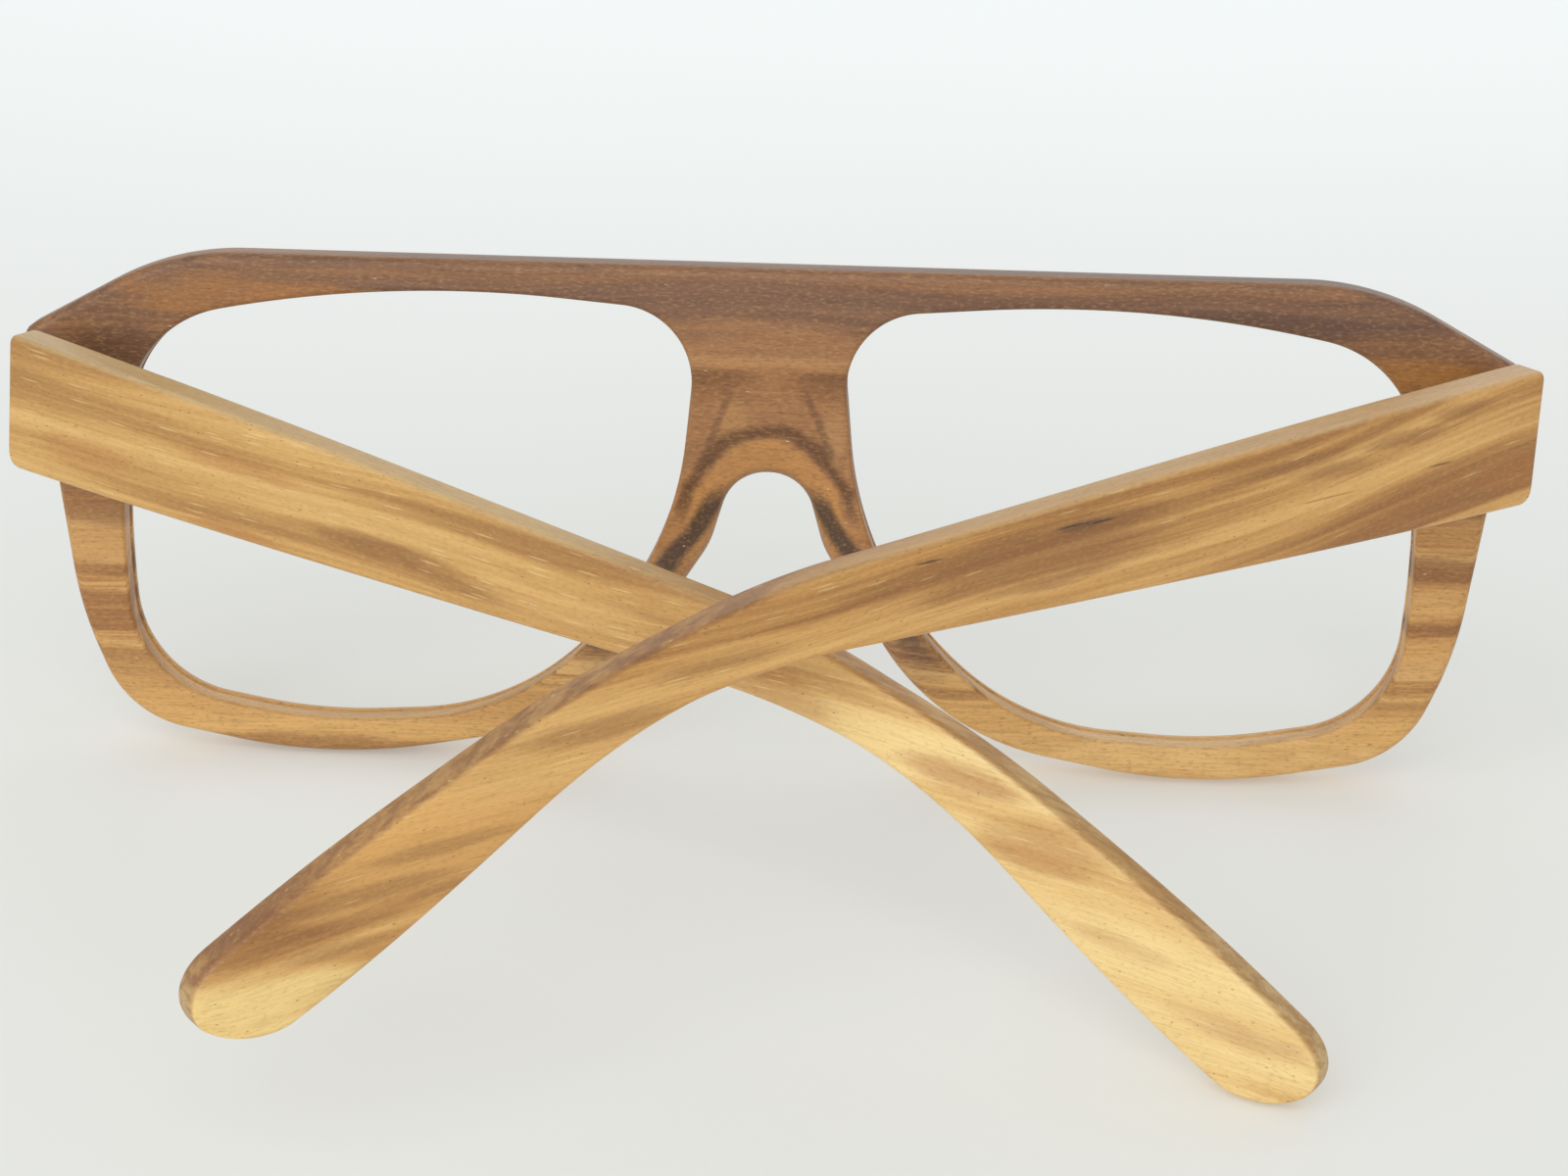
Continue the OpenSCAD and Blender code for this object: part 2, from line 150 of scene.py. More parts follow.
opening_mid = np.array([35.0, 7.0])
opening = rounded(opening_corners, True)
opening = spaced(np.concatenate([opening, opening[:1]]), opening_step)[:-1] - opening_mid
opening_angle = np.arctan2(opening[:, 1], opening[:, 0])
opening_reach = np.hypot(opening[:, 0], opening[:, 1])


def opening_point(angle):
    """Point of the opening's edge at an angle round its middle: middle + r(angle) (cos, sin)."""
    r = np.interp(angle, opening_angle, opening_reach, period=2 * math.pi)
    return opening_mid + np.stack([np.cos(angle), np.sin(angle)], 1) * r[:, None]


loop = up_the_bridge(outline) - opening_mid
loop_angle = np.arctan2(loop[:, 1], loop[:, 0])
small_angle = 0.01
opening_at = opening_point(loop_angle)
opening_run = opening_point(loop_angle + small_angle) - opening_point(loop_angle - small_angle)
opening_out = np.stack([opening_run[:, 1], -opening_run[:, 0]], 1)
opening_out /= np.linalg.norm(opening_out, axis=1, keepdims=True)


def opening_ring(grow, y):
    """Ring of the opening at depth y: its edge + grow * the normal into the wood."""
    q = opening_at + opening_out * grow
    return np.stack([q[:, 0], np.full(len(q), y), q[:, 1]], 1)


def outer_ring(angle, back):
    """Ring of the outer edge, angle round its quarter-round easing, closed up the bridge: the outline
    moved in by snug + r (1 - sin angle), at depth r (1 - cos angle) from the back or the face."""
    q = up_the_bridge(outline + outline_in * (snug + edge_r * (1 - math.sin(angle))))
    y = edge_r * (1 - math.cos(angle))
    return np.stack([q[:, 0], np.full(len(q), y if back else front_t - y), q[:, 1]], 1)


nose_line = outline[(outline[:, 0] < 22) & (outline[:, 1] < 6)]
crease_z = 14.7
bevel_slope, bevel_h = 0.16, 5.6
hollow_depth, flank_w, arch_w, hollow_power = 1.65, 3.2, 6.8, 1.6
leaf_bed = 0.06


def nose_reach(p):
    """Distance of points from the line of the nose arch and its flanks, seen from behind."""
    return np.sqrt(((p[:, None, [0, 2]] - nose_line[None]) ** 2).sum(2).min(1))


def carved(p):
    """Depth of the carving at points of the back: a bevel over the bridge, slope * (crease - z), that
    starts on a straight crease, a hollow, depth * (1 - reach / width) ^ power, that deepens with
    nearness to the arch and fades down the flanks, and a shallow bed for each hinge leaf."""
    x, z = p[:, 0], p[:, 2]
    bevel = bevel_slope * np.clip(crease_z - z, 0, bevel_h) * smooth(x, 13, 8) * smooth(z, -9, 5)
    width = flank_w + (arch_w - flank_w) * smooth(z, -3, 4)
    hollow = hollow_depth * np.clip(1 - nose_reach(p) / width, 0, 1) ** hollow_power
    hollow *= smooth(z, -17, 0) * smooth(x, 21, 17)
    bed = leaf_bed * smooth(x, 60, 63) * smooth(z, 2.5, 4.5)
    return bevel + hollow + bed


def carving_tones(p):
    """For the wood's tones and the carving's painted shade, sheen and highlight: distance from the
    arch, the distance at which its dark arc lies, and 1 on the back."""
    centre = 3.6 + smooth(p[:, 2], 4, 9)
    return np.stack([nose_reach(p), centre, smooth(p[:, 1], 3.8, 3.0)], 1)


quarter = np.linspace(0, math.pi / 2, edge_n)
eased_in = opening_edge_r * (1 - np.sin(quarter))
eased_deep = opening_edge_r * (1 - np.cos(quarter))
back_edge = [opening_ring(grow, y) for grow, y in zip(eased_in, eased_deep)]
groove = [
    opening_ring(0, groove_y - groove_w / 2),
    opening_ring(groove_depth, groove_y),
    opening_ring(0, groove_y + groove_w / 2),
]
face_edge = [opening_ring(grow, front_t - y) for grow, y in zip(eased_in, eased_deep)]
wall = back_edge + groove + face_edge[::-1]
rise = [outer_ring(a, False) for a in quarter]
fall = [outer_ring(a, True) for a in quarter[::-1]]
face_t = (0.04, 0.15, 0.4, 0.7, 0.9, 0.97)
face = [wall[-1] + (rise[0] - wall[-1]) * t for t in face_t]
back_t = np.concatenate([[0.02], np.linspace(0.06, 0.94, 34), [0.98]])
back = [fall[-1] + (wall[0] - fall[-1]) * t for t in back_t]
rings = np.array(wall + face + rise + fall + back)
first_rise = len(wall) + len(face)
first_fall = first_rise + len(rise)
last_fall = first_fall + len(fall) - 1
rings[:, :, 1] = np.clip(rings[:, :, 1], snug / 3, front_t - snug / 3)
ring_n, round_n = rings.shape[:2]
carved_rings = np.r_[0:len(back_edge), first_fall:ring_n]
carving = carved(rings[carved_rings].reshape(-1, 3))
rings[carved_rings, :, 1] += carving.reshape(-1, round_n)


def grid_faces(row, col, rows, cols):
    """Quads of a grid that closes on itself, from the row and the column of each one's first corner."""
    down, on = (row + 1) % rows, (col + 1) % cols
    return np.stack([row * cols + col, row * cols + on, down * cols + on, down * cols + col], 1)


row, col = np.meshgrid(np.arange(ring_n), np.arange(round_n), indexing="ij")
in_bridge = (row >= first_rise) & (row < last_fall) & (col >= len(outline) - 1)
quads = grid_faces(row[~in_bridge], col[~in_bridge], ring_n, round_n)
half = rings.reshape(-1, 3)
tones = np.tile(carving_tones(half), (2, 1))
points = np.concatenate([half, half * [-1, 1, 1]])
faces = np.concatenate([quads, quads[:, ::-1] + len(half)])


def solid(name, points, faces, tones, sharp=38):
    """Closed object from row-frame points and faces: doubles merged, normals out, smooth up to the
    sharp angle in degrees."""
    mesh = bpy.data.meshes.new(name)
    mesh.from_pydata(points.tolist(), [], faces)
    mesh.attributes.new("tones", "FLOAT_VECTOR", "POINT").data.foreach_set("vector", tones.ravel())
    b = bmesh.new()
    b.from_mesh(mesh)
    bmesh.ops.remove_doubles(b, verts=b.verts, dist=1e-7)
    loose = [v for v in b.verts if not v.link_faces]
    bmesh.ops.delete(b, geom=loose, context="VERTS")
    bmesh.ops.recalc_face_normals(b, faces=b.faces)
    b.to_mesh(mesh)
    b.free()
    mesh.shade_smooth()
    mesh.set_sharp_from_angle(angle=math.radians(sharp))
    piece = bpy.data.objects.new(name, mesh)
    bpy.context.scene.collection.objects.link(piece)
    return piece


front_piece = solid("front_wood", to_row(points), faces.tolist(), tones)


def new_material(name):
    """Material with its node tree emptied down to one shader and its output."""
    material = bpy.data.materials.new(name)
    material.use_nodes = True
    tree = material.node_tree
    tree.nodes.clear()
    shader = tree.nodes.new("ShaderNodeBsdfPrincipled")
    out = tree.nodes.new("ShaderNodeOutputMaterial")
    tree.links.new(shader.outputs[0], out.inputs[0])
    return material, tree, shader


def put(tree, kind, settings=(), **inputs):
    """Adds a node; an input is named by its label or by _ and its number, and takes a value or a
    socket."""
    node = tree.nodes.new("ShaderNode" + kind)
    for key, value in dict(settings).items():
        setattr(node, key, value)
    for key, value in inputs.items():
        socket = node.inputs[int(key[1:])] if key[0] == "_" else node.inputs[key]
        if isinstance(value, bpy.types.NodeSocket):
            tree.links.new(value, socket)
        else:
            socket.default_value = value
    return node


def calc(tree, operation, a, b=0.0):
    """One sum, product or the like of two numbers."""
    return put(tree, "Math", {"operation": operation}, _0=a, _1=b).outputs[0]


def plus(tree, a, b):
    """a + b."""
    return calc(tree, "ADD", a, b)


def minus(tree, a, b):
    """a - b."""
    return calc(tree, "SUBTRACT", a, b)


def times(tree, a, b):
    """a * b."""
    return calc(tree, "MULTIPLY", a, b)


def blend(tree, a, b, part):
    """Part of a and the rest of b."""
    return plus(tree, times(tree, a, part), times(tree, b, 1 - part))


def swing(tree, noise, spread):
    """Noise taken about its middle, to either side of zero."""
    return times(tree, minus(tree, noise, 0.5), spread)


def share(tree, value, low, high):
    """Smooth share of value, 0 at low and 1 at high."""
    ends = {"From Min": low, "From Max": high}
    return put(tree, "MapRange", {"interpolation_type": "SMOOTHSTEP"}, Value=value, **ends).outputs[0]


def near(tree, value, middle, far, close):
    """Share that is full within close of a middle and gone at far."""
    return share(tree, calc(tree, "ABSOLUTE", minus(tree, value, middle)), far, close)


def within(tree, value, low, high):
    """A value from 0 to 1 laid out from low to high."""
    return put(tree, "MapRange", Value=value, **{"To Min": low, "To Max": high}).outputs[0]


def axes(tree, vector):
    """The three numbers of a vector."""
    return put(tree, "SeparateXYZ", Vector=vector).outputs


def mesh_tones(tree):
    """The three tones that a mesh carries on its points."""
    return axes(tree, put(tree, "Attribute", {"attribute_name": "tones"}).outputs["Vector"])


def colour(r, g, b):
    """Screen colour from 0 to 255 as linear light."""
    c = np.array([r, g, b]) / 255
    c = np.where(c <= 0.04045, c / 12.92, ((c + 0.055) / 1.055) ** 2.4)
    return (*c.tolist(), 1.0)


def ramp(tree, value, stops):
    """Colours laid along a value, given as (place, screen colour)."""
    node = put(tree, "ValToRGB", Fac=value)
    line = node.color_ramp.elements
    while len(line) < len(stops):
        line.new(0.5)
    for element, (place, c) in zip(line, stops):
        element.position = place
        element.color = colour(*c)
    return node.outputs[0]


def mix(tree, value, a, b):
    """Colour a turning to colour b with value."""
    return put(tree, "Mix", {"data_type": "RGBA"}, _0=value, _6=a, _7=b).outputs[2]


def laid(tree, tint, where, strength, c):
    """Tint turned by a strength to a screen colour, where a share says."""
    return mix(tree, times(tree, where, strength), tint, colour(*c))


def grain_space(tree, turn, move):
    """Object coordinates in millimetres, turned so that the first axis lies along the grain."""
    place = put(tree, "TexCoord").outputs["Object"]
    angles = Matrix(turn.tolist()).to_euler("XYZ")
    start = (turn @ -move).tolist()
    scale = (1000, 1000, 1000)
    return put(tree, "Mapping", Vector=place, Scale=scale, Rotation=angles, Location=start).outputs[0]


def stretched(tree, place, scale, detail=2.0, rough=0.5, shift=(0, 0, 0)):
    """Noise with its own scale along each axis, so that it runs out into streaks."""
    place = put(tree, "Mapping", Vector=place, Scale=scale, Location=shift).outputs[0]
    noise = put(tree, "TexNoise", Vector=place, Scale=1.0, Detail=detail, Roughness=rough)
    return noise.outputs[0]


def dashes(tree, place, scale, size, keep, shift=(0, 0, 0)):
    """Short dashes along the grain: the middles of stretched cells, of which a share is kept."""
    place = put(tree, "Mapping", Vector=place, Scale=scale, Location=shift).outputs[0]
    cells = put(tree, "TexVoronoi", {"feature": "F1"}, Vector=place, Scale=1.0)
    inside = share(tree, cells.outputs["Distance"], size, size * 0.45)
    pick = axes(tree, cells.outputs["Color"])[0]
    return times(tree, inside, calc(tree, "GREATER_THAN", pick, 1 - keep))


def patch(tree, x, z, ragged, at, reach):
    """Soft share inside an ellipse at a place of the piece, its rim made ragged by noise."""
    dx = times(tree, minus(tree, x, at[0]), 1 / reach[0])
    dz = times(tree, minus(tree, z, at[1]), 1 / reach[1])
    far = plus(tree, calc(tree, "POWER", dx, 2.0), calc(tree, "POWER", dz, 2.0))
    return share(tree, plus(tree, far, swing(tree, ragged, 2.6)), 1.25, 0.0)


def spotted(tree, tint, x, z, ragged, spots):
    """Tint with soft ragged spots, each a place, a reach, a strength and a screen colour."""
    for at, reach, strength, c in spots:
        tint = laid(tree, tint, patch(tree, x, z, ragged, at, reach), strength, c)
    return tint


def raised(tree, shader, height, strength, depth):
    """Bump by a height from 0 to 1, depth in metres."""
    bump = put(tree, "Bump", Height=height, Strength=strength, Distance=depth)
    tree.links.new(bump.outputs[0], shader.inputs["Normal"])


def finish_wood(tree, shader, tint, fibre, pores):
    """Satin oiled surface: roughness varies with the fibre, and pores and fibre lines are bumps."""
    tree.links.new(tint, shader.inputs["Base Color"])
    tree.links.new(within(tree, fibre, 0.3, 0.48), shader.inputs["Roughness"])
    raised(tree, shader, minus(tree, times(tree, fibre, 0.6), pores), 0.3, 0.00006)


# The plank's layers follow a point's height, tipped with its depth, and sway along the plank.
front_wood, tree, shader = new_material("front_wood")
place = grain_space(tree, tilt.T, stand)
x, y, z = axes(tree, place)
wide = calc(tree, "ABSOLUTE", x)
sway = swing(tree, stretched(tree, place, (0.035, 0.06, 0.06), 1.0), 3.6)
layer = plus(tree, plus(tree, z, times(tree, y, -1.6)), sway)
layers = put(tree, "CombineXYZ", X=x, Y=0.0, Z=layer).outputs[0]
bands = stretched(tree, layers, (0.012, 1, 0.36), 2.0, 0.55)
lines = stretched(tree, layers, (0.03, 1, 1.5), 2.0, 0.6, (5, 0, 0))
fibre = stretched(tree, place, (0.2, 4.0, 4.0), 3.0, 0.7)
grit = stretched(tree, place, (1.5, 4.5, 4.5), 2.0, 0.6, (3, 1, 4))
ragged = stretched(tree, layers, (0.09, 1, 0.4), 3.0, 0.6, (11, 0, 3))
frayed = swing(tree, stretched(tree, place, (0.22, 0.22, 0.22), 4.0, 0.62, (2, 0, 6)), 2.4)
pores = dashes(tree, place, (0.5, 2.6, 2.6), 0.17, 0.25)
flecks = dashes(tree, place, (0.5, 2.0, 2.0), 0.15, 0.06, (31, 7, 3))

# Striped rims that turn to plain honey at the bottom, under a brown brow with a dusky seam.
rim_stops = [(0, (136, 90, 48)), (0.35, (180, 130, 70)), (0.65, (206, 156, 88)), (1, (232, 188, 120))]
honey_stops = [(0, (210, 158, 90)), (1, (226, 176, 104))]
brow_stops = [(0, (122, 85, 58)), (0.5, (142, 99, 66)), (1, (164, 115, 74))]
dusk_stops = [(0, (108, 76, 60)), (1, (138, 99, 73))]
zebra = share(tree, blend(tree, bands, lines, 0.62), 0.42, 0.58)
rim, honey = ramp(tree, zebra, rim_stops), ramp(tree, zebra, honey_stops)
tint = mix(tree, share(tree, layer, -13.0, -20.0), rim, honey)
brow_tone = share(tree, blend(tree, bands, lines, 0.35), 0.3, 0.7)
brow, dusk = ramp(tree, brow_tone, brow_stops), ramp(tree, brow_tone, dusk_stops)
seam = times(tree, share(tree, layer, 18.6, 20.2), share(tree, layer, 23.4, 21.6))
brow = mix(tree, times(tree, seam, 0.85), brow, dusk)
high = plus(tree, layer, swing(tree, ragged, 8.0))
tint = mix(tree, share(tree, high, -1.0, 5.0), tint, brow)
layer_spots = (
    ((-52.0, 20.5), (14.0, 2.2), 0.7, (182, 122, 58)),
    ((-63.0, 14.0), (5.0, 4.0), 0.7, (104, 72, 54)),
    ((61.0, 15.5), (7.0, 2.6), 0.7, (186, 126, 60)),
    ((48.0, 20.0), (13.0, 1.6), 0.7, (98, 70, 56)),
    ((2.0, 21.0), (15.0, 3.6), 0.7, (166, 122, 88)),
)
rim_spots = (
    ((-66.0, -1.4), (11.0, 1.5), 0.7, (116, 76, 44)),
    ((-66.0, -4.6), (11.0, 1.4), 0.7, (228, 180, 108)),
    ((-66.0, -7.4), (11.0, 0.7), 0.7, (128, 82, 42)),
    ((-66.0, -10.2), (11.0, 1.1), 0.7, (128, 82, 42)),
    ((-66.0, -12.8), (11.0, 0.7), 0.7, (134, 88, 46)),
    ((65.0, 1.2), (10.0, 1.2), 0.7, (210, 158, 94)),
    ((65.0, -3.1), (10.0, 1.5), 0.7, (88, 54, 32)),
    ((65.0, -6.2), (10.0, 1.8), 0.7, (250, 202, 124)),
    ((65.0, -9.0), (10.0, 0.8), 0.7, (100, 62, 34)),
    ((65.0, -11.2), (10.0, 1.6), 0.7, (242, 192, 116)),
    ((-40.0, -25.0), (19.0, 1.9), 0.7, (150, 100, 52)),
    ((40.0, -22.5), (22.0, 3.4), 0.7, (248, 204, 134)),
)
tint = spotted(tree, tint, x, layer, ragged, layer_spots)
tint = spotted(tree, tint, x, z, ragged, rim_spots)

# The saddle: brown flanks, a lit bridge under the crease, a dark arc round the arch and dark cheeks of
# painted shade in the hollow, a painted highlight along the crease with painted shade below it, and a
# painted sheen on the flanks' edge.
reach, centre, behind = mesh_tones(tree)
flank = times(tree, share(tree, wide, 21.0, 15.0), share(tree, layer, -19.0, -11.0))
tint = mix(tree, times(tree, flank, 0.8), tint, brow)
bridge = times(tree, share(tree, wide, 16.0, 9.0), share(tree, high, 20.5, 16.5))
off = plus(tree, minus(tree, reach, centre), frayed)
arc = near(tree, off, 0.0, 1.0, 0.1)
cheek_at = plus(tree, times(tree, share(tree, z, 3.0, -5.0), 1.9), 0.6)
cheek = plus(tree, minus(tree, reach, cheek_at), times(tree, frayed, 0.4))
# Painted shade in the dark cheeks of the hollow.
painted_hollow_shade = near(tree, cheek, 0.0, 1.6, 0.5)
slant = plus(tree, plus(tree, wide, times(tree, z, 0.37)), times(tree, frayed, 0.4))
slant = near(tree, slant, 8.3, 0.7, 0.1)
crease = times(tree, share(tree, wide, 12.0, 8.5), behind)
# Painted light on the crease: a pale painted highlight along its edge, and painted shade on the bevel
# below it.
painted_crease_highlight = near(tree, z, crease_z + 0.6, 0.9, 0.1)
painted_crease_shade = times(tree, share(tree, z, crease_z, crease_z - 0.5), share(tree, wide, 0.0, 5.0))
painted_crease_shade = times(tree, painted_crease_shade, share(tree, z, crease_z - 4.5, crease_z - 0.8))


def between(low, low_end, high_end, high):
    """On the back, the share of heights that fades in from low and out to high."""
    inside = times(tree, share(tree, z, low, low_end), share(tree, z, high, high_end))
    return times(tree, inside, behind)


for where, on, strength, c in (
    (bridge, behind, 0.55, (188, 134, 84)),
    (share(tree, off, -0.4, -1.2), between(-8.0, -2.0, 20.0, 21.0), 0.7, (208, 148, 80)),
    (share(tree, cheek, 0.9, 1.8), between(-18.0, -12.0, 0.0, 4.0), 0.45, (192, 132, 70)),
    (patch(tree, x, z, ragged, (-3.5, 9.2), (1.5, 3.4)), behind, 0.36, (206, 158, 98)),
    (patch(tree, x, z, ragged, (6.4, 8.4), (1.5, 3.4)), behind, 0.4, (206, 160, 106)),
    # Painted highlight on the crease, then painted shade below it.
    (painted_crease_highlight, crease, 0.5, (202, 152, 98)),
    (painted_crease_shade, crease, 0.55, (108, 68, 40)),
    (slant, between(4.5, 6.5, 11.0, 13.5), 0.5, (104, 68, 50)),
    (arc, between(-1.5, 1.5, 20.0, 21.0), 0.8, (92, 54, 26)),
    # Painted shade in the hollow's cheeks.
    (painted_hollow_shade, between(-16.0, -9.0, 0.5, 3.6), 0.88, (56, 42, 38)),
    # Painted sheen on the rounded edge of the flanks by the nose gap.
    (share(tree, reach, 0.7, 0.2), between(-18.0, -12.0, -3.0, 1.0), 0.5, (166, 130, 98)),
    (share(tree, reach, 1.0, 0.1), between(1.5, 4.0, 20.0, 21.0), 0.6, (122, 86, 58)),
):
    tint = laid(tree, tint, times(tree, where, on), strength, c)

# Fibre, grit, pores and flecks over all.
for where, strength, c in (
    (share(tree, fibre, 0.42, 0.75), 0.3, (92, 60, 36)),
    (share(tree, grit, 0.5, 0.72), 0.22, (226, 182, 122)),
    (share(tree, grit, 0.48, 0.28), 0.3, (82, 54, 34)),
    (pores, 0.5, (74, 46, 28)),
    (flecks, 0.75, (236, 214, 184)),
):
    tint = laid(tree, tint, where, strength, c)
finish_wood(tree, shader, tint, fibre, pores)
front_piece.data.materials.append(front_wood)
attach(front_piece, "front_assembly")
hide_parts("front")

# Temples: side arms of golden wood, each one piece, sawn with a bend for the ear and a spade tip.
# They are sanded to a taper with eased edges; the grain runs straight through and crosses the tip.
# A hinge leaf is let into the inner face behind the mitred butt.

temple_t, waist_t, tip_thin = 4.4, 3.4, 0.55
butt_h, waist_h, tip_h = 12.9, 6.0, 9.3
straight_len, bend_r, tip_len = 76.2, 74.0, 32.0
slope_0, slope_1 = math.radians(7.8), math.radians(34)
temple_x, butt_y, butt_rise = 1.4, 4.12, 1.6
temple_edge_r, tip_slant, tip_last = 0.6, math.radians(18), math.radians(88.5)
butt_r, butt_upper, butt_ease, butt_ease_len = 1.4, 0.2, 0.5, 0.6
mitre_slope, mitre_len = math.tan(math.radians(5)), 12
butt_gap, run_scale = 1.6 * snug, 1 - snug / 60
turn_start, turn_run = 4, 40
leaf_len, leaf_fade = 15, 2
bend_len = bend_r * (slope_1 - slope_0)
temple_len = straight_len + bend_len + tip_len
waist_u = straight_len + bend_len * 0.48
flare_u = temple_len - tip_h * 1.25
tip_round = tip_h * 0.56
tip_start = temple_len - tip_round
butt_n, run_n, tip_n, corner_n, flat_n = 11, 170, 22, 7, 6


def ease(t):
    """Half a cosine wave from 0 to 1."""
    return (1 - np.cos(np.pi * np.clip(t, 0, 1))) / 2


def quarter_round(t):
    """Fall of a quarter circle, 1 at its start and 0 where it runs out."""
    return 1 - np.sqrt(1 - np.clip(1 - t, 0, 1) ** 2)


def hinge_turn(side, fold):
    """Turn of a temple on its hinge in the front's frame: folded about z, then canted about y."""
    return turned(1, cant) @ turned(2, side * (math.radians(fold) - math.pi / 2))


def temple_line(u):
    """Slope, distance along and fall of the middle line at length u: a straight run, an arc of radius
    R, R (sin slope - sin slope_0) along and R (cos slope_0 - cos slope) down, and a straight tip."""
    slope = slope_0 + (slope_1 - slope_0) * np.clip((u - straight_len) / bend_len, 0, 1)
    lead = np.minimum(u, straight_len)
    tail = np.maximum(0, u - straight_len - bend_len)
    along = lead * math.cos(slope_0) + tail * math.cos(slope_1)
    along = along + bend_r * (np.sin(slope) - math.sin(slope_0))
    down = lead * math.sin(slope_0) + tail * math.sin(slope_1)
    down = down + bend_r * (math.cos(slope_0) - np.cos(slope))
    return slope, along, down


def along_flats(d):
    """Each corner's arc followed by even steps over the flat to the next corner."""
    step = np.linspace(0, 1, flat_n)[1:-1]
    flat = d[:, :, -1:] + (np.roll(d, -1, 1)[:, :, :1] - d[:, :, -1:]) * step
    return np.concatenate([d, flat], 2).reshape(len(d), -1)


def temple_surface(side, fold):
    """Rounded rectangle, corners (w / 2 - r) + r cos a by (h - r) + r sin a, carried along the middle
    line and turned with it, tapered in height and thickness; the tip closes on a half ellipse,
    sqrt(1 - t^2), and the butt on a small quarter round."""
    q = np.linspace(0, math.pi / 2, butt_n)
    t = np.linspace(0, tip_last, tip_n)[1:]
    butt = butt_r * (1 - np.cos(q))
    run = np.linspace(butt_r, tip_start, run_n)[1:]
    u = np.concatenate([butt, run, tip_start + tip_round * np.sin(t)])
    slope, along, down = temple_line(u)

    eased = butt_ease * quarter_round(u / butt_ease_len)
    closing = np.sqrt(1 - np.clip((u - tip_start) / tip_round, 0, 1) ** 2)
    taper = butt_h + (waist_h - butt_h) * np.clip(u / waist_u, 0, 1) ** 1.3
    flare = waist_h + (tip_h - waist_h) * ease((u - waist_u) / (flare_u - waist_u))
    h = np.where(u < waist_u, taper, flare) / 2 * closing - eased - snug
    full = temple_t + (waist_t - temple_t) * ease(u / straight_len)
    w = full * (tip_thin + (1 - tip_thin) * closing) - 2 * eased - snug
    r = np.minimum(temple_edge_r, np.minimum(h * 0.8, w * 0.4))

    a = np.linspace(0, math.pi / 2, corner_n) + np.arange(4)[:, None] * math.pi / 2
    sx = np.array([[1], [-1], [-1], [1]])
    sz = np.array([[1], [1], [-1], [-1]])
    corner = butt_r * quarter_round(u / butt_r)[:, None, None] * np.where(sz < 0, 1.0, butt_upper)
    dx = sx * (w / 2 - r)[:, None, None] + r[:, None, None] * np.cos(a)
    dz = sz * ((h - r)[:, None, None] - corner) + r[:, None, None] * np.sin(a)
    dx, dz = along_flats(dx), along_flats(dz)

    u, r, h = u[:, None], r[:, None], h[:, None]
    turn = slope * ease((u[:, 0] - turn_start) / turn_run)
    turn = turn + tip_slant * ease((u[:, 0] - tip_start + tip_h) / (tip_h + tip_round))
    bed = leaf_bed * (dx < 0) * smooth(u, leaf_len + leaf_fade, leaf_len)
    across = temple_x + temple_t - full[:, None] / 2 + dx + bed
    mitre = mitre_slope * np.maximum(0, 1 - u / mitre_len) * across
    back = butt_y - butt_gap - mitre - along[:, None] * run_scale - dz * np.sin(turn)[:, None]
    height = butt_rise - down[:, None] + dz * np.cos(turn)[:, None]
    p = np.stack([across, back, height], 2)
    # The top face's share, carried in the tones, places the painted sheen and shade of the top face.
    top = smooth(dz, h - 0.8 * r, h - 0.1 * r)
    tones = np.stack([top, np.broadcast_to(u, top.shape), 0 * top], 2).reshape(-1, 3)

    count, around = top.shape
    row, col = np.meshgrid(np.arange(count - 1), np.arange(around), indexing="ij")
    sides = grid_faces(row.ravel(), col.ravel(), count, around)[:, [0, 3, 2, 1]]
    ends = [list(range(around)), list(range((count - 1) * around, count * around))]
    p = (p.reshape(-1, 3) * [side, 1, 1]) @ hinge_turn(side, fold).T + pin(side)
    return p, sides.tolist() + ends, tones


light_stops = [(0, (216, 170, 104)), (0.5, (236, 196, 126)), (1, (250, 218, 150))]


